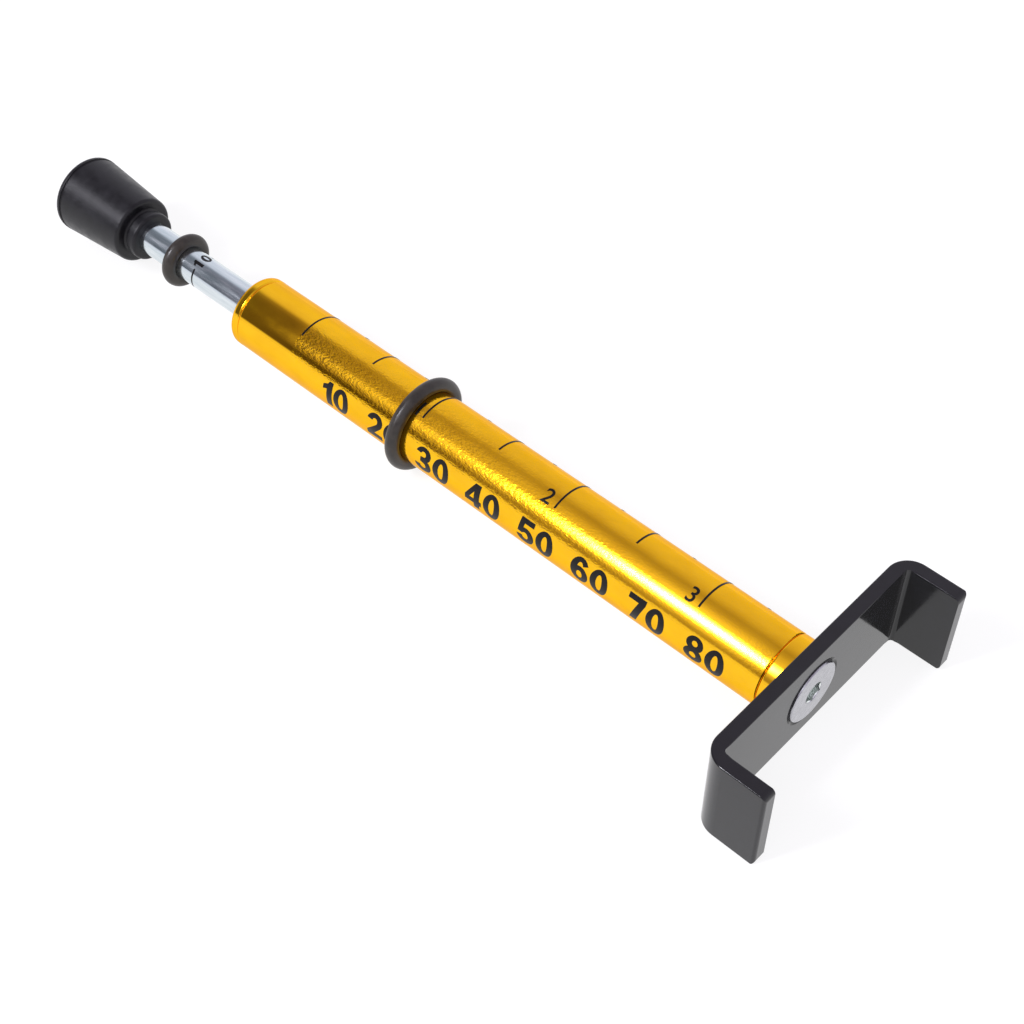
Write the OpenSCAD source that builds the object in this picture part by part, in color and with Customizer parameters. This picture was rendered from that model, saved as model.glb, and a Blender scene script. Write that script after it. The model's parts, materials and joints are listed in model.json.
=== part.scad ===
// Pencil-type belt tension tester: a sprung plunger in a graduated barrel, with a cradle for the belt.
// The barrel's axis is X. The belt lies on the cradle's web at x = 0, and the knob is at the negative end.

/* [Barrel] */
// Outside diameter of the barrel, its lip and its collar
barrel_od = 11.7; // [11.2:0.1:12.6]
// Wall of the barrel tube
barrel_wall = 1.1; // [0.9:0.05:1.3]
// Length of the barrel tube between the lip and the collar
barrel_length = 100.5; // [94:0.5:120]
// Rounding of the tube's edges, which makes the two seams
seam_round = 0.3; // [0.1:0.05:0.4]

/* [Guide bush] */
// Width of the lip that stands at the plunger end
lip_width = 1.7; // [1.4:0.1:2.4]
// Rounding of the lip's outer edge
lip_round = 0.7; // [0.3:0.05:0.9]
// Depth of the bush in the barrel
bush_depth = 8; // [6:0.5:12]
// Wall of the bearing sleeve in the bush
liner_wall = 0.9; // [0.6:0.05:1]
// Depth of the sleeve below the lip's face
liner_sink = 0.4; // [0.2:0.1:0.8]
// Thickness of the buffer washer behind the bush
stop_thickness = 1.5; // [1:0.1:3]

/* [End plug] */
// Width of the collar between the barrel and the cradle
collar_width = 2.8; // [2:0.1:5]
// Depth of the plug in the barrel
plug_depth = 11; // [10.5:0.5:16]
// Length of the nose that holds the spring in the middle
nose_length = 4; // [3:0.5:7]
// Thickness of the washer that the spring stands on
seat_thickness = 1; // [0.6:0.1:1.6]

/* [Cradle] */
// Clear width between the legs, for the belt
belt_clear = 39.1; // [30:0.1:60]
// Thickness of the steel strip
strip_thickness = 2.1; // [1.8:0.1:2.4]
// Width of the steel strip
strip_width = 15.3; // [14:0.1:22]
// Reach of the legs beyond the belt's face
leg_reach = 8.05; // [6:0.05:16]
// Radius outside the bends
bend_outer = 3.5; // [3.2:0.1:4.5]
// Radius inside the bends, where the press tool sharpens them
bend_inner = 0.6; // [0.3:0.1:0.75]
// Rounding of the strip's long edges
strip_round = 0.2; // [0.1:0.05:0.5]
// Rounding of the corners at the legs' ends
leg_corner = 1; // [0.5:0.1:2]
// Rounding of the legs' ends on their outer sides
end_round = 0.5; // [0.2:0.1:1]

/* [Cradle screw] */
// Diameter of the screw's shank
screw_d = 5; // [4.6:0.1:5.2]
// Length of the screw with its head
screw_length = 12; // [9:0.5:13]
// Diameter of the countersunk head
head_d = 9.5; // [9:0.1:9.9]
// Diameter of the countersink in the cradle
countersink_d = 10.6; // [10.2:0.1:11.2]
// Height of the head's face above the belt's face
head_proud = 0.3; // [0.1:0.05:0.35]
// Rounding of the head's rim
head_round = 0.25; // [0.1:0.05:0.3]
// Width across the flats of the hexagon socket
socket_width = 3; // [2.5:0.1:3.5]
// Depth of the hexagon socket
socket_depth = 2; // [1.4:0.1:2.4]

/* [Plunger] */
// Diameter of the plunger rod
rod_d = 5.5; // [5.1:0.1:5.8]
// Length of rod that shows between the lip and the knob
exposed_rod = 25.4; // [24:0.1:32]
// Travel of the plunger into the barrel
travel = 12.5; // [6:0.1:12.8]
// Travel left at full press before the rod meets the plug's nose
stop_spare = 0.4; // [0.2:0.1:2]
// Diameter of the rod's turned-down tail
tail_d = 4.4; // [4:0.1:4.6]
// Distance of the scribed line from the lip
mark_distance = 12.6; // [8:0.1:14]
// Width of the scribed line
mark_width = 0.35; // [0.2:0.05:0.6]
// Depth of the scribed line
mark_depth = 0.12; // [0.06:0.02:0.2]
// Angle that the scribed line covers, with its gap at the top for a number
mark_angle = 280; // [180:5:330]

/* [Knob] */
// Length of the knob
knob_length = 17; // [15:0.1:24]
// Diameter at the knob's pushed end
knob_d = 13.3; // [12.6:0.1:16]
// Diameter at the knob's shoulder
shoulder_d = 11; // [10.6:0.1:12]
// Length of the collar in front of the shoulder
mouth_length = 2.5; // [2:0.1:4]
// Diameter of that collar
mouth_d = 8.1; // [7.8:0.1:9]
// Rounding of the collar's front edge
mouth_round = 0.5; // [0.4:0.05:0.95]
// Radius of the groove between the shoulder and the collar
neck_groove = 0.45; // [0.4:0.05:0.7]
// Depth of that groove below the collar
neck_depth = 0.4; // [0.2:0.05:0.6]
// Rounding of the shoulder
shoulder_round = 0.6; // [0.3:0.05:0.8]
// Rounding of the pushed end
knob_round = 0.8; // [0.4:0.05:1.5]
// Distance of the rim's groove from the pushed end
rim_width = 1.3; // [1:0.05:2]
// Radius of the rim's groove
rim_groove = 0.25; // [0.1:0.05:0.4]
// Thickness of rubber behind the steel disc
knob_floor = 3; // [2:0.1:5]
// Diameter of the steel disc
disc_d = 8.8; // [7.5:0.1:9.2]
// Thickness of the steel disc
disc_thickness = 1; // [0.6:0.1:2]

/* [Marker rings] */
// Width of both rubber rings along the axis
ring_width = 2.2; // [1.9:0.05:2.3]
// Height of both rings, stretched flat on the bars that they grip
ring_height = 1.77; // [1.5:0.01:1.9]
// Distance of the small ring's middle from the lip
force_ring_distance = 17.3; // [14:0.1:18]
// Distance of the large ring's middle from the tube's lip end
deflection_ring_distance = 34.6; // [4:0.1:80]

/* [Spring] */
// Diameter of the spring wire
wire_d = 1.2; // [1:0.05:1.3]
// Number of coils that work
active_coils = 14; // [10:1:22]
// Number of closed coils at each end
closed_coils = 1; // [1:1:2]
// Length of the follower's piston
follower_length = 6; // [4:0.5:9]
// Length of the pilots that the spring fits over
pilot_length = 2.5; // [1.5:0.1:4]
// Diameter of the snap ring's wire
clip_wire = 0.9; // [0.7:0.05:1]
// Depth of the snap ring's groove in the tail
clip_depth = 0.4; // [0.3:0.05:0.45]
// Angle that the snap ring covers
clip_angle = 305; // [270:5:320]

/* [Fits] */
// Radial clearance of parts that are pressed or screwed together
press_gap = 0.01; // [0.005:0.005:0.03]
// Radial clearance of the rod in its sleeve and in the follower
slide_gap = 0.05; // [0.02:0.01:0.09]
// Radial clearance of the follower and the washers in the barrel
bore_gap = 0.1; // [0.06:0.01:0.15]
// Radial clearance of the spring in the barrel
coil_gap = 0.3; // [0.2:0.05:0.4]
// Radial clearance of the spring on its pilots
pilot_gap = 0.2; // [0.15:0.05:0.25]
// Radial clearance of the rubber rings
grip_gap = 0.03; // [0.02:0.01:0.06]

/* [Hidden] */
$fn = 96;

// Edge break on turned steel parts
edge_break = 0.3;
// Run-out of the tapped hole past the screw's end
tap_runout = 1.5;
// Sides of the spring wire and steps in one turn of the spring
wire_sides = 6;
turn_steps = 12;
// Overlap of a cutter past the face that it cuts
over = 1;

barrel_r = barrel_od / 2;
bore_r = barrel_r - barrel_wall;
rod_r = rod_d / 2;
tail_r = tail_d / 2;
screw_r = screw_d / 2;
head_r = head_d / 2;
countersink_r = countersink_d / 2;
// Radius inside a bend of even thickness
bend_radius = bend_outer - strip_thickness;

// Stations along the axis, from the belt's face to the knob's end
web_x = -strip_thickness;
collar_x = web_x - collar_width;
plug_x = collar_x - plug_depth;
nose_x = plug_x - nose_length;
spring_x = plug_x - seat_thickness;
tube_x = collar_x - barrel_length;
lip_x = tube_x - lip_width;
mouth_x = lip_x - exposed_rod;
knob_x = mouth_x - knob_length;
bush_x = tube_x + bush_depth;
follower_x = bush_x + stop_thickness;
piston_x = follower_x + follower_length;
pilot_x = piston_x + pilot_length;
tail_x = nose_x - travel - stop_spare;
disc_x = knob_x + knob_floor;
rod_x = disc_x + disc_thickness;

// The spring's mean radius leaves coil_gap in the bore, and its inside sets the pilots
coil_r = bore_r - coil_gap - wire_d / 2;
pilot_r = coil_r - wire_d / 2 - pilot_gap;
liner_r = rod_r + slide_gap + liner_wall;
clip_r = tail_r + clip_wire / 2 - clip_depth;
clip_x = pilot_x + clip_wire / 2 + slide_gap;

gold = [0.90, 0.66, 0.05];
steel = [0.72, 0.73, 0.75];
black = [0.10, 0.10, 0.11];
bronze = [0.70, 0.50, 0.28];
nylon = [0.88, 0.86, 0.80];

function unit(v) = v / norm(v);

// Half the inside angle at corner b between a and c
function half_angle(a, b, c) = acos(unit(a - b) * unit(c - b)) / 2;

// Middle of the circle of radius r that rounds corner b
function round_centre(a, b, c, r) =
    b + unit(unit(a - b) + unit(c - b)) * r / sin(half_angle(a, b, c));

// The two points where that circle touches the sides, or the corner itself where r is 0
function round_points(a, b, c, r) =
    r == 0 ? [b] :
    let (reach = r / tan(half_angle(a, b, c)))
    [b + unit(a - b) * reach, b + unit(c - b) * reach];

// Outline with outward corners rounded: each entry of corners is [x, y, radius]
module rounded_outline(corners) {
    count = len(corners);
    spot = [for (c = corners) [c[0], c[1]]];
    polygon([
        for (i = [0 : count - 1])
            each round_points(spot[(i + count - 1) % count], spot[i], spot[(i + 1) % count], corners[i][2])
    ]);
    for (i = [0 : count - 1])
        if (corners[i][2] > 0)
            translate(
                round_centre(spot[(i + count - 1) % count], spot[i], spot[(i + 1) % count], corners[i][2])
            )
                circle(r = corners[i][2]);
}

// Turned part about the barrel's axis, from an outline with the radius first and the station second
module turned(angle = 360) {
    rotate([0, 90, 0])
        rotate_extrude(angle = angle)
            children();
}

// Round bar about the barrel's axis between two stations
module bar(r, from, to) {
    translate([from, 0, 0])
        rotate([0, 90, 0])
            cylinder(r = r, h = to - from);
}

// Flat ring about the barrel's axis between two stations
module washer_ring(outer, inner, from, to) {
    turned()
        translate([inner, from])
            square([outer - inner, to - from]);
}

// Space for the screw: a 90 degree countersink from the belt's face and a hole below it
module screw_space(hole_r) {
    turned()
        polygon([
            [0, over],
            [countersink_r, over],
            [countersink_r, 0],
            [hole_r, hole_r - countersink_r],
            [hole_r, head_proud - screw_length - tap_runout],
            [0, head_proud - screw_length - tap_runout]
        ]);
}

module barrel() {
    color(gold)
        turned()
            rounded_outline([
                [bore_r, tube_x, 0],
                [barrel_r, tube_x, seam_round],
                [barrel_r, collar_x, seam_round],
                [bore_r, collar_x, 0]
            ]);
}

module guide_bush() {
    inner = liner_r + press_gap;
    color(gold)
        turned() {
            rounded_outline([
                [inner, lip_x, 0],
                [barrel_r, lip_x, lip_round],
                [barrel_r, tube_x, seam_round],
                [inner, tube_x, 0]
            ]);
            translate([inner, tube_x - seam_round])
                square([bore_r - press_gap - inner, bush_depth + seam_round]);
        }
}

module bush_liner() {
    color(bronze)
        washer_ring(liner_r, rod_r + slide_gap, lip_x + liner_sink, bush_x);
}

module stop_washer() {
    color(nylon)
        washer_ring(bore_r - bore_gap, rod_r + slide_gap, bush_x, follower_x);
}

module end_plug() {
    color(gold)
        difference() {
            union() {
                turned()
                    rounded_outline([
                        [0, collar_x, 0],
                        [barrel_r, collar_x, seam_round],
                        [barrel_r, web_x, 0],
                        [0, web_x, 0]
                    ]);
                bar(bore_r - press_gap, plug_x, collar_x);
                turned()
                    polygon([
                        [0, nose_x],
                        [pilot_r - edge_break, nose_x],
                        [pilot_r, nose_x + edge_break],
                        [pilot_r, plug_x],
                        [0, plug_x]
                    ]);
            }
            screw_space(screw_r + slide_gap);
        }
}

module spring_seat() {
    color(steel)
        washer_ring(bore_r - bore_gap, pilot_r + slide_gap, spring_x, plug_x);
}

// Station of the wire's middle after the given number of turns, with closed coils at both ends
function wire_station(turns, start, pitch) =
    start
    + wire_d * min(turns, closed_coils)
    + pitch * max(0, min(turns - closed_coils, active_coils))
    + wire_d * max(0, turns - closed_coils - active_coils);

module main_spring() {
    turns = active_coils + 2 * closed_coils;
    steps = turns * turn_steps;
    start = piston_x + wire_d / 2 + slide_gap;
    length = spring_x - piston_x - wire_d - 2 * slide_gap;
    pitch = (length - 2 * closed_coils * wire_d) / active_coils;
    points = [
        for (i = [0 : steps], k = [0 : wire_sides - 1])
            let (
                turn = 360 * i / turn_steps,
                side = 360 * k / wire_sides,
                x = wire_station(i / turn_steps, start, pitch) + wire_d / 2 * sin(side),
                r = coil_r + wire_d / 2 * cos(side)
            )
            [x, r * cos(turn), r * sin(turn)]
    ];
    walls = [
        for (i = [0 : steps - 1], k = [0 : wire_sides - 1])
            let (a = i * wire_sides + k, b = i * wire_sides + (k + 1) % wire_sides)
            each [[a, b, b + wire_sides], [a, b + wire_sides, a + wire_sides]]
    ];
    first = [for (k = [wire_sides - 1 : -1 : 0]) k];
    last = [for (k = [0 : wire_sides - 1]) steps * wire_sides + k];
    color(steel)
        polyhedron(points, concat([first, last], walls), convexity = 12);
}

// Cross-section of the strip with its rounded edges
module strip_section() {
    rounded_outline([
        [0, -strip_width / 2, strip_round],
        [strip_thickness, -strip_width / 2, strip_round],
        [strip_thickness, strip_width / 2, strip_round],
        [0, strip_width / 2, strip_round]
    ]);
}

// One bend and one leg on the +Y side, with the leg's end rounded at its corners and on its outer side
module cradle_leg() {
    bend_y = belt_clear / 2 - bend_radius;
    translate([bend_radius, bend_y, 0])
        rotate(90)
            rotate_extrude(angle = 90)
                translate([bend_radius, 0])
                    strip_section();
    translate([bend_radius, belt_clear / 2, 0])
        intersection() {
            rotate([90, 0, 90])
                linear_extrude(leg_reach - bend_radius)
                    strip_section();
            rotate([-90, 0, 0])
                linear_extrude(strip_thickness)
                    rounded_outline([
                        [0, -strip_width / 2, 0],
                        [leg_reach - bend_radius, -strip_width / 2, leg_corner],
                        [leg_reach - bend_radius, strip_width / 2, leg_corner],
                        [0, strip_width / 2, 0]
                    ]);
            translate([0, 0, -strip_width])
                linear_extrude(2 * strip_width)
                    rounded_outline([
                        [0, 0, 0],
                        [leg_reach - bend_radius, 0, 0],
                        [leg_reach - bend_radius, strip_thickness, end_round],
                        [0, strip_thickness, 0]
                    ]);
        }
}

// Space that the press tool takes out of the corner inside one bend
module bend_corner() {
    translate([0, 0, -strip_width])
        linear_extrude(2 * strip_width)
            rounded_outline([
                [0, belt_clear / 2 - bend_radius, 0],
                [bend_radius, belt_clear / 2 - bend_radius, 0],
                [bend_radius, belt_clear / 2, 0],
                [0, belt_clear / 2, bend_inner]
            ]);
}

module cradle() {
    web_length = belt_clear - 2 * bend_radius;
    color(black)
        difference() {
            union() {
                translate([0, -web_length / 2, 0])
                    rotate([90, 0, 180])
                        linear_extrude(web_length)
                            strip_section();
                cradle_leg();
                mirror([0, 1, 0])
                    cradle_leg();
            }
            bend_corner();
            mirror([0, 1, 0])
                bend_corner();
            screw_space(screw_r + slide_gap);
        }
}

module cradle_screw() {
    face = head_proud;
    // The head's side is straight down to the countersink, then follows it at press_gap
    rim = head_r - countersink_r + press_gap;
    // Radius to the corners of the hexagon, where its edge break starts
    corner_r = socket_width / 2 / cos(30);
    color(steel)
        difference() {
            turned()
                rounded_outline([
                    [0, face - screw_length, 0],
                    [screw_r - edge_break, face - screw_length, 0],
                    [screw_r, face - screw_length + edge_break, 0],
                    [screw_r, rim - head_r + screw_r, 0],
                    [head_r, rim, 0],
                    [head_r, face, head_round],
                    [0, face, 0]
                ]);
            translate([face - socket_depth, 0, 0])
                rotate([0, 90, 0])
                    cylinder(r = corner_r, h = socket_depth + over, $fn = 6);
            turned()
                polygon([[0, face - corner_r], [corner_r + over, face + over], [0, face + over]]);
        }
}

module follower() {
    piston_r = bore_r - bore_gap;
    color(bronze)
        difference() {
            turned()
                polygon([
                    [0, follower_x],
                    [piston_r - edge_break, follower_x],
                    [piston_r, follower_x + edge_break],
                    [piston_r, piston_x - edge_break],
                    [piston_r - edge_break, piston_x],
                    [pilot_r, piston_x],
                    [pilot_r, pilot_x],
                    [0, pilot_x]
                ]);
            bar(tail_r + slide_gap, follower_x - over, pilot_x + over);
        }
}

module plunger_rod() {
    mark_x = lip_x - mark_distance;
    color(steel)
        difference() {
            turned()
                polygon([
                    [0, rod_x],
                    [rod_r - edge_break, rod_x],
                    [rod_r, rod_x + edge_break],
                    [rod_r, follower_x],
                    [tail_r, follower_x],
                    [tail_r, tail_x - edge_break],
                    [tail_r - edge_break, tail_x],
                    [0, tail_x]
                ]);
            rotate([-mark_angle / 2, 0, 0])
                turned(mark_angle)
                    translate([rod_r - mark_depth, mark_x - mark_width / 2])
                        square([mark_depth + over, mark_width]);
            turned()
                translate([clip_r, clip_x])
                    circle(d = clip_wire + 2 * press_gap);
        }
}

module follower_clip() {
    color(steel)
        turned(clip_angle)
            translate([clip_r, clip_x])
                circle(d = clip_wire);
}

module knob() {
    grip_r = rod_r + press_gap;
    shoulder_x = mouth_x - mouth_length;
    // Radius of the tapered body at the rim's groove
    taper = (knob_d - shoulder_d) / 2 / (knob_length - mouth_length);
    rim_r = knob_d / 2 - taper * rim_width;
    color(black)
        difference() {
            union() {
                turned()
                    rounded_outline([
                        [0, knob_x, 0],
                        [knob_d / 2, knob_x, knob_round],
                        [shoulder_d / 2, shoulder_x, shoulder_round],
                        [0, shoulder_x, 0]
                    ]);
                turned()
                    rounded_outline([
                        [0, shoulder_x - over, 0],
                        [mouth_d / 2, shoulder_x - over, 0],
                        [mouth_d / 2, mouth_x, mouth_round],
                        [0, mouth_x, 0]
                    ]);
            }
            bar(grip_r, disc_x, mouth_x + over);
            bar(disc_d / 2 + press_gap, disc_x, rod_x);
            turned()
                translate([rim_r, knob_x + rim_width])
                    circle(r = rim_groove);
            turned()
                translate([mouth_d / 2 + neck_groove - neck_depth, shoulder_x + neck_groove])
                    circle(r = neck_groove);
        }
}

module knob_washer() {
    color(steel)
        turned()
            polygon([
                [0, disc_x],
                [disc_d / 2 - edge_break, disc_x],
                [disc_d / 2, disc_x + edge_break],
                [disc_d / 2, rod_x - edge_break],
                [disc_d / 2 - edge_break, rod_x],
                [0, rod_x]
            ]);
}

// Round rubber ring, stretched over a bar of radius r and flat on it, with its middle at the given station
module rubber_ring(r, station) {
    inner = r + grip_gap;
    color(black)
        difference() {
            turned()
                translate([inner + ring_height - ring_width / 2, station])
                    circle(d = ring_width);
            bar(inner, station - ring_width, station + ring_width);
        }
}

module force_ring() {
    rubber_ring(rod_r, lip_x - force_ring_distance);
}

module deflection_ring() {
    rubber_ring(barrel_r, tube_x + deflection_ring_distance);
}

barrel();
guide_bush();
bush_liner();
stop_washer();
end_plug();
spring_seat();
main_spring();
cradle();
cradle_screw();
follower();
plunger_rod();
follower_clip();
knob();
knob_washer();
force_ring();
deflection_ring();
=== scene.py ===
"""Looks of the belt tension tester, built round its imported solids."""
import json
import math

import bmesh
import bpy
from mathutils import Matrix, Vector


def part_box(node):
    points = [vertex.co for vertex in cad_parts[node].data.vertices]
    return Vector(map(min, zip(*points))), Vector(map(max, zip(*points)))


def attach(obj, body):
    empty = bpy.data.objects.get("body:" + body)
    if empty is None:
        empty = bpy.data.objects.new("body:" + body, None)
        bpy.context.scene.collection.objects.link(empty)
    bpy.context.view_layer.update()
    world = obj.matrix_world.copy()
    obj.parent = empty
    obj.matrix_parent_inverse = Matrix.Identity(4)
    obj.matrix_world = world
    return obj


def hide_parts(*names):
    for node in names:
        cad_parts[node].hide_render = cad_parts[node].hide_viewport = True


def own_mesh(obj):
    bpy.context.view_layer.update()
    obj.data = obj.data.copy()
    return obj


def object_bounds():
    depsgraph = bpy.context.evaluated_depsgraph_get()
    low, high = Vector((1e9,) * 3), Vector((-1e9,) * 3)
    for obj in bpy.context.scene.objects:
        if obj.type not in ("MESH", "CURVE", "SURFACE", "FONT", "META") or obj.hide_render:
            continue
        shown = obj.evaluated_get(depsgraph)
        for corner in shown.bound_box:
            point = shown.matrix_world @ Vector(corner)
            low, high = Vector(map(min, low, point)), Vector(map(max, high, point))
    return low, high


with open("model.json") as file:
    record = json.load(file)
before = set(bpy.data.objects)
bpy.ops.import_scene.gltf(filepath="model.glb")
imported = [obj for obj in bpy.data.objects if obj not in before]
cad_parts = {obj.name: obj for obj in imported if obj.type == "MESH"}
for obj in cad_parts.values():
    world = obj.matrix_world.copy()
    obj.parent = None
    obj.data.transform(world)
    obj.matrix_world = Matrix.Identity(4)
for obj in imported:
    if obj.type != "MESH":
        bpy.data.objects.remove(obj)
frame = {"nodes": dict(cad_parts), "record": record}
cad_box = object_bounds()

MM = 0.001
INCH = 25.4 * MM

# Camera, fitted to the photograph's 1024 by 1024 frame
IMAGE_SIZE = 1024
FOCAL_PIXELS = 1811.6
SENSOR = 36.0
CAMERA_AZIMUTH = 42.777
CAMERA_ELEVATION = 48.946
CAMERA_PLACE = (64.396 * MM, -126.952 * MM, 192.690 * MM)
CAMERA_NEAR = 10 * MM

# Main sizes, read from the solids
tube_low, tube_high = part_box("barrel")
lip_low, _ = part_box("guide_bush")
rod_low, rod_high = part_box("plunger_rod")
BARREL_R = (tube_high.z - tube_low.z) / 2
ROD_R = (rod_high.z - rod_low.z) / 2
FLOOR_Z = cad_box[0].z

# Printed marks: how far each thin closed solid reaches into the metal and out of it, the length of its
# facets round the bar, and the distance within which its points are one
INK_SINK = 0.05 * MM
INK_RISE = 0.025 * MM
INK_STEP = 0.25 * MM
INK_MERGE = 0.0005 * MM

# Inch scale: its zero line, its line width, the angles where the lines start and end, and its numbers
INCH_ZERO = tube_low.x + 11.9 * MM
INCH_COUNT = 3
LINE_WIDTH = 0.3 * MM
LINE_END = math.radians(172)
INCH_START = math.radians(63)
HALF_START = math.radians(88)
QUARTER_START = math.radians(139)
INCH_DIGIT_HEIGHT = 2.4 * MM
INCH_DIGIT_GAP = 1.1 * MM
INCH_DIGIT_ANGLE = math.radians(73)
INCH_DIGIT_BOLD = 0.012
INCH_DIGIT_STEPS = 6

# Bold metric numbers on the lower band, with the space between digits as a share of their height
METRIC_STEP = 10 * MM
METRIC_COUNT = 8
METRIC_HEIGHT = 4.4 * MM
METRIC_ANGLE = math.radians(8)
METRIC_SPACE = 0.09

# The rod's scribed line, the ink that fills it from under its floor to just under the rod's face, and the
# number in its gap
ROD_MARK_X = lip_low.x - 12.6 * MM
ROD_MARK_DEPTH = 0.12 * MM
ROD_MARK_WIDTH = 0.33 * MM
ROD_INK_UNDER = 0.03 * MM
ROD_INK_SHORT = 0.02 * MM
ROD_LINE_START = math.radians(-229.5)
ROD_LINE_END = math.radians(49.5)
ROD_NUMBER_HEIGHT = 2.05 * MM
ROD_NUMBER_ANGLE = math.radians(90)
ROD_NUMBER_SPACE = 0.31

# Coil spring: its wire, its turns and those closed at each end, and the steps in a turn and round the wire
SPRING_WIRE = 1.2 * MM
SPRING_TURNS = 16
SPRING_CLOSED = 1
SPRING_STEPS = 40
SPRING_SIDES = 12

# Noise in the materials: the part of its range that is used, its middle, its layers in colours and in
# bumps, and its scale along X, Y and Z where a finish names none
NOISE_SPAN = (0.3, 0.7)
NOISE_MIDDLE = 0.5
COLOUR_LAYERS = 4
BUMP_LAYERS = 2
EVEN = (1, 1, 1)

# Gold anodised metal, with the same kinds of values as the finishes below
GOLD_CONSTANTS = {
    "Metallic": 1.0, "Specular Tint": (0.85, 0.60, 0.25, 1), "Coat Weight": 0.20, "Coat Roughness": 0.06,
}
GOLD_COLOURS = [(0.92, 0.49, 0.009), (1.0, 0.55, 0.011)]
GOLD_ROUGH = (0.045, 0.085)
GOLD_GRAIN = 420
GOLD_WAVES = (900, 0.002 * MM)
GOLD_STRETCH = (0.5, 1, 1)

# Clear film on the barrel: the width of its edge, the stations between which it gets smoother and the share
# of its grain that is left there, and its grain as (features per metre, height)
FILM_EDGE = 0.3 * MM
FILM_CALM = (-52 * MM, -14 * MM)
FILM_LEFT = 0.3
FILM_GRAIN = [(2200, 0.020 * MM), (4400, 0.012 * MM)]

# Socket in the screw's head: a radius round it, just under the head's face, and the pale colour painted in
# it as light falling into the recess
SOCKET_R = 2.0 * MM
SOCKET_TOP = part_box("cradle_screw")[1].x - 0.1 * MM
SOCKET_PAINTED_LIGHT = (0.86, 0.90, 0.88, 1)

# Other finishes: the two ends of their colour and roughness, the features per metre of both, their bumps as
# (features per metre, height), their constant sockets, and the noise's scale along X, Y and Z
FINISHES = {
    "black_paint": {
        "colours": [(0.003, 0.003, 0.004), (0.005, 0.005, 0.007)], "rough": (0.09, 0.15), "grain": 600,
        "bumps": [(900, 0.004 * MM), (4200, 0.0015 * MM)], "constants": {"Specular IOR Level": 0.48},
    },
    "plated_steel": {
        "colours": [(0.39, 0.39, 0.42), (0.53, 0.53, 0.56)], "rough": (0.20, 0.32), "grain": 1500,
        "bumps": [(2600, 0.004 * MM)], "constants": {"Metallic": 1.0},
    },
    "bright_rod": {
        "colours": [(0.58, 0.65, 0.68), (0.72, 0.77, 0.79)], "rough": (0.10, 0.19), "grain": 1500,
        "bumps": [(2200, 0.004 * MM)], "constants": {"Metallic": 1.0}, "stretch": (0.12, 1, 1),
    },
    "spring_steel": {
        "colours": [(0.30, 0.30, 0.31), (0.44, 0.44, 0.45)], "rough": (0.28, 0.42), "grain": 1800,
        "bumps": [(5000, 0.002 * MM)], "constants": {"Metallic": 1.0},
    },
    "bronze": {
        "colours": [(0.52, 0.33, 0.13), (0.66, 0.45, 0.20)], "rough": (0.25, 0.40), "grain": 1200,
        "bumps": [(4000, 0.002 * MM)], "constants": {"Metallic": 1.0}, "stretch": (4, 1, 1),
    },
    "nylon": {
        "colours": [(0.72, 0.70, 0.62), (0.80, 0.78, 0.70)], "rough": (0.40, 0.55), "grain": 900,
        "bumps": [(2500, 0.003 * MM)], "constants": {"Subsurface Weight": 0.1},
    },
    "knob_rubber": {
        "colours": [(0.004, 0.004, 0.005), (0.010, 0.010, 0.012)], "rough": (0.30, 0.46), "grain": 700,
        "bumps": [(700, 0.012 * MM), (3500, 0.006 * MM)], "constants": {"Specular IOR Level": 0.33},
    },
    "ring_rubber": {
        "colours": [(0.019, 0.016, 0.012), (0.035, 0.029, 0.022)], "rough": (0.32, 0.45), "grain": 900,
        "bumps": [(3500, 0.004 * MM)], "constants": {"Specular IOR Level": 0.45},
    },
    "ink": {
        "colours": [(0.004, 0.004, 0.004), (0.009, 0.008, 0.008)], "rough": (0.26, 0.38), "grain": 1500,
        "bumps": [(4500, 0.001 * MM)], "constants": {"Specular IOR Level": 0.18},
    },
}

# Floor: half its width in metres, its white in the light that it throws back, its own glow to the camera
# and in reflections, and the share of light that shows shadows there
FLOOR_HALF = 3
FLOOR_WHITE = 0.86
FLOOR_GLOW = 0.85
FLOOR_SHADE = 0.20

# Studio round the part: (degrees from the front horizon over the top, level) behind its knob, at its rod,
# and at the barrel's knob end, middle and cradle end
HALF_TURN = 180
END_SIDE = [(0, 1.0), (12, 0.75), (40, 0.50), (90, 0.50), (130, 0.75), (180, 0.95)]
ROD_SIDE = [
    (0, 1.0), (6, 1.0), (11, 0.15), (80, 0.18), (93, 0.22), (103, 0.30), (113, 0.63), (119, 0.77),
    (133, 0.88), (180, 0.95),
]
KNOB_SIDE = [
    (0, 1.0), (6, 1.0), (11, 0.13), (80, 0.16), (93, 0.20), (103, 0.31), (113, 0.76), (119, 0.87),
    (133, 0.92), (180, 0.98),
]
MIDDLE = [
    (0, 1.0), (6, 1.0), (11, 0.10), (22, 0.07), (33, 0.50), (45, 0.88), (54, 0.78), (63, 0.43), (93, 0.38),
    (103, 0.45), (113, 0.80), (119, 0.85), (133, 0.92), (180, 0.98),
]
CRADLE_SIDE = [
    (0, 1.0), (6, 1.0), (11, 0.38), (19, 0.36), (33, 0.85), (48, 1.60), (63, 0.80), (73, 0.74), (83, 0.68),
    (93, 0.54), (103, 0.46), (113, 0.58), (119, 0.66), (133, 0.77), (160, 0.87), (180, 0.97),
]

# Tints of the whole room and of its dim parts, and the directions along X between which each side takes
# over from the one before
ROOM_TINT = (0.98, 0.97, 1.06)
ROD_TINT = (1.0, 1.15, 1.20)
DUSK_TINT = (1.0, 0.80, 1.0)
SIDE_STEPS = [
    ((-0.75, -0.70), ROD_SIDE, ROD_TINT),
    ((-0.608, -0.599), KNOB_SIDE, DUSK_TINT),
    ((-0.5775, -0.5715), MIDDLE, DUSK_TINT),
    ((-0.545, -0.455), CRADLE_SIDE, DUSK_TINT),
]

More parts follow.
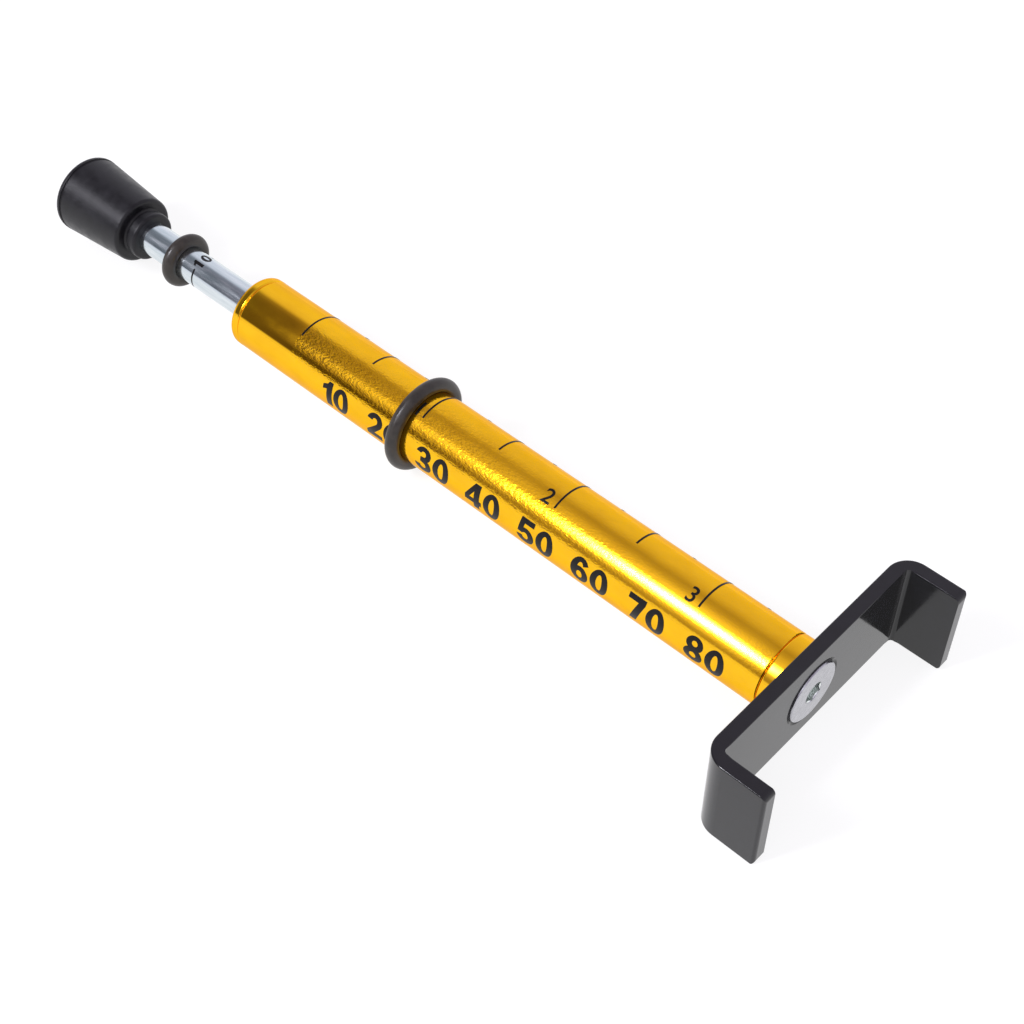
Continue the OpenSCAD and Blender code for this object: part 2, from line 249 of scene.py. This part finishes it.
# Soft light: its height over the front horizon and where it comes in and goes out along X, then half the
# width in degrees and the level of its core and of the halo round it
LAMP_RISE = 47
LAMP_IN = (-0.440, -0.338)
LAMP_OUT = (-0.318, -0.275)
LAMP_CORE = (20, 75)
LAMP_HALO = (44, 0.9)


def add_node(tree, kind, inputs=None, **settings):
    """New node with its unlinked inputs and its settings."""
    made = tree.nodes.new(kind)
    for name, value in settings.items():
        setattr(made, name, value)
    for name, value in (inputs or {}).items():
        made.inputs[name].default_value = value
    return made


def add_ramp(tree, factor, stops):
    """Colour ramp fed by factor, with stops of (position, colour)."""
    ramp = tree.nodes.new("ShaderNodeValToRGB")
    elements = ramp.color_ramp.elements
    while len(elements) < len(stops):
        elements.new(0.5)
    for element, (position, colour) in zip(elements, stops):
        element.position = position
        element.color = (*colour, 1)
    tree.links.new(factor, ramp.inputs["Fac"])
    return ramp.outputs["Color"]


def add_math(tree, operation, a, b=None):
    """Math node on sockets or plain numbers."""
    made = add_node(tree, "ShaderNodeMath", operation=operation)
    for place, value in enumerate((a, b)):
        if isinstance(value, (int, float)):
            made.inputs[place].default_value = value
        elif value is not None:
            tree.links.new(value, made.inputs[place])
    return made.outputs["Value"]


def add_range(tree, value, from_low, from_high, to_low, to_high, smooth=False):
    """Map Range node on a socket."""
    made = add_node(
        tree,
        "ShaderNodeMapRange",
        {"From Min": from_low, "From Max": from_high, "To Min": to_low, "To Max": to_high},
        interpolation_type="SMOOTHSTEP" if smooth else "LINEAR",
    )
    tree.links.new(value, made.inputs["Value"])
    return made.outputs["Result"]


def add_axes(tree, space):
    """X, Y and Z of a texture space."""
    place = add_node(tree, "ShaderNodeTexCoord")
    split = add_node(tree, "ShaderNodeSeparateXYZ")
    tree.links.new(place.outputs[space], split.inputs[0])
    return split.outputs


def add_noise(tree, scale, layers, stretch):
    """Noise in the part's own frame, with scale in features per metre."""
    place = add_node(tree, "ShaderNodeTexCoord")
    mapping = add_node(tree, "ShaderNodeMapping", {"Scale": stretch})
    noise = add_node(tree, "ShaderNodeTexNoise", {"Scale": scale, "Detail": layers})
    tree.links.new(place.outputs["Object"], mapping.inputs["Vector"])
    tree.links.new(mapping.outputs["Vector"], noise.inputs["Vector"])
    return noise.outputs["Fac"]


def add_bump(tree, height, distance, below=None):
    """Bump of the given height in metres, on top of another bump where one is named."""
    bump = add_node(tree, "ShaderNodeBump", {"Distance": distance})
    tree.links.new(height, bump.inputs["Height"])
    if below is not None:
        tree.links.new(below, bump.inputs["Normal"])
    return bump.outputs["Normal"]


def new_surface(name, colours, rough, grain, stretch, constants):
    """Material with a Principled shader, whose colour and roughness wander between two ends."""
    material = bpy.data.materials.new(name)
    material.use_nodes = True
    tree = material.node_tree
    shader = tree.nodes["Principled BSDF"]
    for socket, value in constants.items():
        shader.inputs[socket].default_value = value
    wander = add_noise(tree, grain, COLOUR_LAYERS, stretch)
    colour = add_ramp(tree, wander, list(zip(NOISE_SPAN, colours)))
    tree.links.new(colour, shader.inputs["Base Color"])
    tree.links.new(add_range(tree, wander, *NOISE_SPAN, *rough), shader.inputs["Roughness"])
    return material, tree, shader


def make_finish(name, colours, rough, grain, bumps, constants, stretch=EVEN):
    """Material of one of the finishes."""
    material, tree, shader = new_surface(name, colours, rough, grain, stretch, constants)
    normal = None
    for scale, height in bumps:
        normal = add_bump(tree, add_noise(tree, scale, BUMP_LAYERS, stretch), height, below=normal)
    tree.links.new(normal, shader.inputs["Normal"])
    return material


def make_gold():
    """Gold, under a finely grained clear film from the scale's zero line to the barrel's end."""
    material, tree, shader = new_surface(
        "gold_anodised", GOLD_COLOURS, GOLD_ROUGH, GOLD_GRAIN, GOLD_STRETCH, GOLD_CONSTANTS,
    )
    station, _, _ = add_axes(tree, "Object")
    begun = add_range(tree, station, INCH_ZERO - FILM_EDGE, INCH_ZERO, 0, 1)
    calmed = add_range(tree, station, *FILM_CALM, 1, FILM_LEFT, smooth=True)
    on_tube = add_math(tree, "LESS_THAN", station, tube_high.x)
    film = add_math(tree, "MULTIPLY", add_math(tree, "MULTIPLY", begun, calmed), on_tube)
    scale, height = GOLD_WAVES
    normal = add_bump(tree, add_noise(tree, scale, BUMP_LAYERS, GOLD_STRETCH), height)
    for scale, height in FILM_GRAIN:
        grain = add_noise(tree, scale, BUMP_LAYERS, GOLD_STRETCH)
        swing = add_math(tree, "SUBTRACT", grain, NOISE_MIDDLE)
        normal = add_bump(tree, add_math(tree, "MULTIPLY", swing, film), height, below=normal)
    tree.links.new(normal, shader.inputs["Normal"])
    return material


def brighten_socket(material):
    """Paints the socket down in the screw's head paler, as painted light in its recess."""
    tree = material.node_tree
    base = tree.nodes["Principled BSDF"].inputs["Base Color"]
    x, y, z = add_axes(tree, "Object")
    squares = [add_math(tree, "MULTIPLY", side, side) for side in (y, z)]
    radius = add_math(tree, "SQRT", add_math(tree, "ADD", *squares))
    narrow = add_math(tree, "LESS_THAN", radius, SOCKET_R)
    deep = add_math(tree, "LESS_THAN", x, SOCKET_TOP)
    # Painted light: the socket's inside is coloured paler than the head, as if lit
    mix = add_node(tree, "ShaderNodeMixRGB", {"Color2": SOCKET_PAINTED_LIGHT})
    tree.links.new(add_math(tree, "MULTIPLY", narrow, deep), mix.inputs["Fac"])
    tree.links.new(base.links[0].from_socket, mix.inputs["Color1"])
    tree.links.new(mix.outputs["Color"], base)


def make_materials():
    """One material for each of the record's slots, and the printing ink."""
    made = {"gold_anodised": make_gold()}
    for name, finish in FINISHES.items():
        made[name] = make_finish(name, **finish)
    brighten_socket(made["plated_steel"])
    return made


def dress_nodes(materials):
    """Gives each solid the material of its slot in the record."""
    for row in frame["record"]["subparts"]:
        mesh = frame["nodes"][row["node"]].data
        mesh.materials.clear()
        mesh.materials.append(materials[row["material_slot"]])


def link_object(name, mesh, material):
    """Object in the scene for a finished mesh."""
    mesh.materials.append(material)
    made = bpy.data.objects.new(name, mesh)
    bpy.context.scene.collection.objects.link(made)
    return made


def finish_mesh(name, bm):
    """Mesh of a closed form, with its faces turned outwards."""
    bmesh.ops.recalc_face_normals(bm, faces=bm.faces)
    mesh = bpy.data.meshes.new(name)
    bm.to_mesh(mesh)
    bm.free()
    return mesh


def add_skin(bm, rings):
    """Closed skin over a row of rings of points."""
    count = len(rings[0])
    for a, b in zip(rings, rings[1:]):
        for k in range(count):
            bm.faces.new((a[k], a[(k + 1) % count], b[(k + 1) % count], b[k]))
    bm.faces.new(rings[0][::-1])
    bm.faces.new(rings[-1])


def on_bar(station, angle, radius):
    """Point on a bar about X: the angle starts at the side that faces -Y and goes up."""
    return Vector((station, -radius * math.cos(angle), radius * math.sin(angle)))


def add_line(bm, station, width, start, end, radius, sink=INK_SINK, lift=INK_RISE):
    """Printed line across the bar, from one angle to another, as a thin closed band."""
    steps = max(2, round(abs(end - start) * radius / INK_STEP))
    rings = []
    for step in range(steps + 1):
        angle = start + (end - start) * step / steps
        rings.append([
            bm.verts.new(on_bar(station + side * width / 2, angle, radius + rise))
            for side, rise in ((-1, -sink), (1, -sink), (1, lift), (-1, lift))
        ])
    add_skin(bm, rings)


def arc(x, y, rx, ry, start, end, count=14):
    """Points on an ellipse from one angle to another, in degrees."""
    turns = [math.radians(start + (end - start) * k / count) for k in range(count + 1)]
    return [(x + rx * math.cos(a), y + ry * math.sin(a)) for a in turns]


def loop(x, y, rx, ry):
    """Points of a whole ellipse."""
    return arc(x, y, rx, ry, 0, 360, 36)[:-1]


# Bold digits of height 1: for each, its outline and then its holes
BOLD_DIGITS = {
    "0": [loop(0.35, 0.5, 0.35, 0.5), loop(0.35, 0.5, 0.12, 0.325)],
    "1": [[
        (0.20, 0), (0.45, 0), (0.45, 1), (0.27, 1), (0.21, 0.89), (0.02, 0.81), (0.02, 0.62), (0.20, 0.69),
    ]],
    "2": [
        [(0, 0), (0.69, 0), (0.69, 0.2), (0.33, 0.2)]
        + arc(0.35, 0.70, 0.34, 0.30, -38, 175)
        + arc(0.35, 0.70, 0.115, 0.125, 175, -42)
        + [(0, 0.19)],
    ],
    "3": [
        arc(0.33, 0.29, 0.36, 0.29, -172, 55)
        + arc(0.33, 0.73, 0.32, 0.27, -50, 172)
        + arc(0.33, 0.735, 0.11, 0.105, 172, -80)
        + [(0.22, 0.615), (0.22, 0.435)]
        + arc(0.33, 0.285, 0.13, 0.125, 80, -172),
    ],
    "4": [
        [
            (0.38, 0), (0.61, 0), (0.61, 0.2), (0.70, 0.2), (0.70, 0.39), (0.61, 0.39),
            (0.61, 1), (0.36, 1), (0, 0.40), (0, 0.2), (0.38, 0.2),
        ],
        [(0.38, 0.39), (0.38, 0.70), (0.19, 0.39)],
    ],
    "5": [
        [(0.02, 0.43), (0.09, 1), (0.64, 1), (0.64, 0.81), (0.26, 0.81)]
        + arc(0.33, 0.33, 0.36, 0.33, 105, -168)
        + arc(0.33, 0.33, 0.13, 0.15, -168, 150),
    ],
    "6": [
        arc(0.37, 0.5, 0.37, 0.5, 38, 270)
        + arc(0.37, 0.33, 0.335, 0.33, -84, 110)
        + arc(0.37, 0.5, 0.135, 0.33, 152, 38),
        loop(0.365, 0.325, 0.115, 0.16),
    ],
    "7": [[(0.13, 0), (0.39, 0), (0.68, 0.83), (0.68, 1), (0.02, 1), (0.02, 0.8), (0.42, 0.8)]],
    "8": [
        arc(0.35, 0.73, 0.31, 0.27, -49, 229, 26) + arc(0.35, 0.29, 0.35, 0.29, 126, 414, 26),
        loop(0.35, 0.745, 0.105, 0.105),
        loop(0.35, 0.28, 0.125, 0.125),
    ],
}


def bold_curve(text, space):
    """Flat curve of a number in the bold digits."""
    curve = bpy.data.curves.new("number", "CURVE")
    curve.dimensions = "2D"
    curve.fill_mode = "BOTH"
    start = 0
    for digit in text:
        for outline in BOLD_DIGITS[digit]:
            spline = curve.splines.new("POLY")
            spline.points.add(len(outline) - 1)
            for point, (x, y) in zip(spline.points, outline):
                point.co = (start + x, y, 0, 1)
            spline.use_cyclic_u = True
        start += max(x for x, _ in BOLD_DIGITS[digit][0]) + space
    return curve


def plain_curve(text):
    """Flat curve of a number in Blender's own font."""
    curve = bpy.data.curves.new("number", "FONT")
    curve.body = text
    curve.offset = INCH_DIGIT_BOLD
    curve.resolution_u = INCH_DIGIT_STEPS
    return curve


def number_mesh(curve, height):
    """Thin solid of a number, centred on the origin, of the given height, and its width."""
    # Any depth will do, because it is scaled to the ink's below
    curve.extrude = 0.1
    carrier = bpy.data.objects.new("number", curve)
    bpy.context.scene.collection.objects.link(carrier)
    drawn = carrier.evaluated_get(bpy.context.evaluated_depsgraph_get())
    mesh = bpy.data.meshes.new_from_object(drawn)
    bpy.data.objects.remove(carrier)
    bpy.data.curves.remove(curve)
    spots = [v.co.copy() for v in mesh.vertices]
    low = Vector([min(s[k] for s in spots) for k in range(3)])
    high = Vector([max(s[k] for s in spots) for k in range(3)])
    scale = height / (high.y - low.y)
    thick = (INK_SINK + INK_RISE) / (high.z - low.z)
    middle = (low + high) / 2
    for v in mesh.vertices:
        v.co = Vector((
            (v.co.x - middle.x) * scale,
            (v.co.y - middle.y) * scale,
            (v.co.z - low.z) * thick - INK_SINK,
        ))
    return mesh, (high.x - low.x) * scale


def add_number(bm, mesh, station, angle, radius, around=False):
    """Number wrapped on the bar. It reads along X, or round the bar with its top towards -X."""
    flat = bmesh.new()
    flat.from_mesh(mesh)
    bpy.data.meshes.remove(mesh)
    bmesh.ops.remove_doubles(flat, verts=flat.verts, dist=INK_MERGE)
    across = Vector((1, 0, 0)) if around else Vector((0, 1, 0))
    reach = max(abs(v.co @ across) for v in flat.verts)
    cuts = math.ceil(reach / INK_STEP)
    for cut in range(-cuts, cuts + 1):
        bmesh.ops.bisect_plane(
            flat, geom=flat.verts[:] + flat.edges[:] + flat.faces[:], dist=INK_MERGE,
            plane_co=across * cut * INK_STEP, plane_no=across,
        )
    bmesh.ops.triangulate(flat, faces=flat.faces)
    for v in flat.verts:
        along, up, rise = (-v.co.y, v.co.x, v.co.z) if around else (v.co.x, v.co.y, v.co.z)
        v.co = on_bar(station + along, angle + up / radius, radius + rise)
    done = bpy.data.meshes.new("wrapped")
    flat.to_mesh(done)
    flat.free()
    bm.from_mesh(done)
    bpy.data.meshes.remove(done)


def finish_ink(name, bm, material, body):
    """Printed piece from its marks, riding on a body."""
    piece = link_object(name, finish_mesh(name, bm), material)
    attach(piece, body)


def make_inch_scale(material):
    """Inch, half-inch and quarter-inch lines with the inches' numbers."""
    bm = bmesh.new()
    for quarter in range(4 * INCH_COUNT + 2):
        start = (INCH_START, QUARTER_START, HALF_START, QUARTER_START)[quarter % 4]
        add_line(bm, INCH_ZERO + quarter * INCH / 4, LINE_WIDTH, start, LINE_END, BARREL_R)
    for inch in range(1, INCH_COUNT + 1):
        mesh, width = number_mesh(plain_curve(str(inch)), INCH_DIGIT_HEIGHT)
        station = INCH_ZERO + inch * INCH - INCH_DIGIT_GAP - width / 2
        add_number(bm, mesh, station, INCH_DIGIT_ANGLE, BARREL_R)
    finish_ink("inch_scale", bm, material, "barrel")


def make_metric_numbers(material):
    """Bold numbers every 10 mm along the lower band."""
    bm = bmesh.new()
    for count in range(1, METRIC_COUNT + 1):
        number = str(round(count * METRIC_STEP / MM))
        mesh, _ = number_mesh(bold_curve(number, METRIC_SPACE), METRIC_HEIGHT)
        add_number(bm, mesh, INCH_ZERO + count * METRIC_STEP, METRIC_ANGLE, BARREL_R)
    finish_ink("metric_numbers", bm, material, "barrel")


def make_rod_mark(material):
    """Ink in the plunger rod's scribed line, and the number in the line's gap."""
    bm = bmesh.new()
    add_line(
        bm, ROD_MARK_X, ROD_MARK_WIDTH, ROD_LINE_START, ROD_LINE_END, ROD_R,
        sink=ROD_MARK_DEPTH + ROD_INK_UNDER, lift=-ROD_INK_SHORT,
    )
    mesh, _ = number_mesh(bold_curve("10", ROD_NUMBER_SPACE), ROD_NUMBER_HEIGHT)
    add_number(bm, mesh, ROD_MARK_X, ROD_NUMBER_ANGLE, ROD_R, around=True)
    finish_ink("rod_mark", bm, material, "plunger")


def make_spring(material):
    """Smooth coil spring in the place of the solid's coarse one."""
    low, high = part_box("main_spring")
    coil = (high.z - low.z) / 2 - SPRING_WIRE / 2
    start, length = low.x + SPRING_WIRE / 2, high.x - low.x - SPRING_WIRE
    open_turns = SPRING_TURNS - 2 * SPRING_CLOSED
    pitch = (length - 2 * SPRING_CLOSED * SPRING_WIRE) / open_turns
    bm = bmesh.new()
    rings = []
    for step in range(SPRING_TURNS * SPRING_STEPS + 1):
        turn = step / SPRING_STEPS
        opened = max(0, min(turn - SPRING_CLOSED, open_turns))
        station = start + SPRING_WIRE * (turn - opened) + pitch * opened
        angle = 2 * math.pi * turn
        ring = []
        for side in range(SPRING_SIDES):
            tilt = 2 * math.pi * side / SPRING_SIDES
            x = station + SPRING_WIRE / 2 * math.sin(tilt)
            r = coil + SPRING_WIRE / 2 * math.cos(tilt)
            ring.append(bm.verts.new((x, r * math.cos(angle), r * math.sin(angle))))
        rings.append(ring)
    add_skin(bm, rings)
    for face in bm.faces:
        face.smooth = len(face.verts) == 4
    piece = link_object("coil_spring", finish_mesh("coil_spring", bm), material)
    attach(piece, "barrel")
    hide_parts("main_spring")
    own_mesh(piece)


def make_camera():
    """Camera at the photograph's place and angle."""
    azimuth, elevation = math.radians(CAMERA_AZIMUTH), math.radians(CAMERA_ELEVATION)
    back = Vector((
        math.sin(azimuth) * math.cos(elevation),
        -math.cos(azimuth) * math.cos(elevation),
        math.sin(elevation),
    ))
    right = Vector((math.cos(azimuth), math.sin(azimuth), 0))
    up = back.cross(right)
    data = bpy.data.cameras.new("camera")
    data.sensor_width = SENSOR
    data.lens = SENSOR * FOCAL_PIXELS / IMAGE_SIZE
    data.clip_start = CAMERA_NEAR
    camera = bpy.data.objects.new("camera", data)
    turned = Matrix((right, up, back)).transposed().to_4x4()
    camera.matrix_world = Matrix.Translation(CAMERA_PLACE) @ turned
    bpy.context.scene.collection.objects.link(camera)
    bpy.context.scene.camera = camera


def make_floor():
    """Plain white floor that keeps a faint shadow, and shows white to the camera and in reflections."""
    bm = bmesh.new()
    bmesh.ops.create_grid(bm, x_segments=1, y_segments=1, size=FLOOR_HALF)
    mesh = bpy.data.meshes.new("floor")
    bm.to_mesh(mesh)
    bm.free()
    material = bpy.data.materials.new("floor")
    material.use_nodes = True
    material.cycles.emission_sampling = "NONE"
    tree = material.node_tree
    tree.nodes.remove(tree.nodes["Principled BSDF"])
    path = add_node(tree, "ShaderNodeLightPath")
    seen = add_math(tree, "MAXIMUM", path.outputs["Is Camera Ray"], path.outputs["Is Glossy Ray"])
    seen = add_math(tree, "MAXIMUM", seen, path.outputs["Is Transmission Ray"])
    diffuse = add_node(tree, "ShaderNodeBsdfDiffuse")
    tree.links.new(add_range(tree, seen, 0, 1, FLOOR_WHITE, FLOOR_SHADE), diffuse.inputs["Color"])
    glow = add_node(tree, "ShaderNodeEmission", {"Color": (1, 1, 1, 1)})
    tree.links.new(add_math(tree, "MULTIPLY", seen, FLOOR_GLOW), glow.inputs["Strength"])
    both = add_node(tree, "ShaderNodeAddShader")
    tree.links.new(diffuse.outputs[0], both.inputs[0])
    tree.links.new(glow.outputs[0], both.inputs[1])
    tree.links.new(both.outputs[0], tree.nodes["Material Output"].inputs["Surface"])
    floor = link_object("floor", mesh, material)
    floor.location.z = FLOOR_Z


def add_side(tree, share, side, tint):
    """Levels of one side of the studio. Its dim parts take on a tint and its bright ones stay white."""
    stops = []
    for degrees, level in side:
        dim = max(0, 1 - level)
        stops.append((degrees / HALF_TURN, [level * (1 + (t - 1) * dim) for t in tint]))
    return add_ramp(tree, share, stops)


def add_room(tree, x, sweep):
    """Light of the room, whose sides follow one another along X."""
    share = add_math(tree, "DIVIDE", sweep, HALF_TURN)
    room = add_side(tree, share, END_SIDE, DUSK_TINT)
    for span, side, tint in SIDE_STEPS:
        mix = add_node(tree, "ShaderNodeMixRGB")
        tree.links.new(add_range(tree, x, *span, 0, 1, smooth=True), mix.inputs["Fac"])
        tree.links.new(room, mix.inputs["Color1"])
        tree.links.new(add_side(tree, share, side, tint), mix.inputs["Color2"])
        room = mix.outputs["Color"]
    return room


def add_lamp(tree, x, sweep):
    """Soft light: a patch over the front with a steep core and a wide halo, fading at both ends in X."""
    off = add_math(tree, "ABSOLUTE", add_math(tree, "SUBTRACT", sweep, LAMP_RISE))
    core, halo = [
        add_math(tree, "MULTIPLY", add_range(tree, off, 0, half, 1, 0, smooth=True), level)
        for half, level in (LAMP_CORE, LAMP_HALO)
    ]
    core = add_math(tree, "MULTIPLY", core, add_range(tree, off, 0, LAMP_CORE[0], 1, 0, smooth=True))
    lamp = add_math(tree, "ADD", core, halo)
    lamp = add_math(tree, "MULTIPLY", lamp, add_range(tree, x, *LAMP_IN, 0, 1, smooth=True))
    return add_math(tree, "MULTIPLY", lamp, add_range(tree, x, *LAMP_OUT, 1, 0, smooth=True))


def make_world():
    """White studio with a dim room above and in front, and one soft light in it."""
    world = bpy.data.worlds.new("studio")
    bpy.context.scene.world = world
    world.use_nodes = True
    tree = world.node_tree
    x, y, z = add_axes(tree, "Generated")
    # Degrees from the front horizon over the top to the back horizon
    turn = add_math(tree, "ARCTAN2", z, add_math(tree, "MULTIPLY", y, -1))
    sweep = add_math(tree, "MULTIPLY", turn, HALF_TURN / math.pi)
    light = add_node(tree, "ShaderNodeVectorMath", operation="ADD")
    tree.links.new(add_room(tree, x, sweep), light.inputs[0])
    tree.links.new(add_lamp(tree, x, sweep), light.inputs[1])
    tinted = add_node(
        tree, "ShaderNodeMixRGB", {"Fac": 1, "Color2": (*ROOM_TINT, 1)}, blend_type="MULTIPLY",
    )
    tree.links.new(light.outputs[0], tinted.inputs["Color1"])
    # The background itself is plain white
    path = add_node(tree, "ShaderNodeLightPath")
    shown = add_node(tree, "ShaderNodeMixRGB", {"Color2": (1, 1, 1, 1)})
    tree.links.new(path.outputs["Is Camera Ray"], shown.inputs["Fac"])
    tree.links.new(tinted.outputs["Color"], shown.inputs["Color1"])
    tree.links.new(shown.outputs["Color"], tree.nodes["Background"].inputs["Color"])


make_camera()
make_floor()
make_world()
palette = make_materials()
dress_nodes(palette)
make_inch_scale(palette["ink"])
make_metric_numbers(palette["ink"])
make_rod_mark(palette["ink"])
make_spring(palette["spring_steel"])
bpy.context.scene.view_settings.view_transform = "Standard"
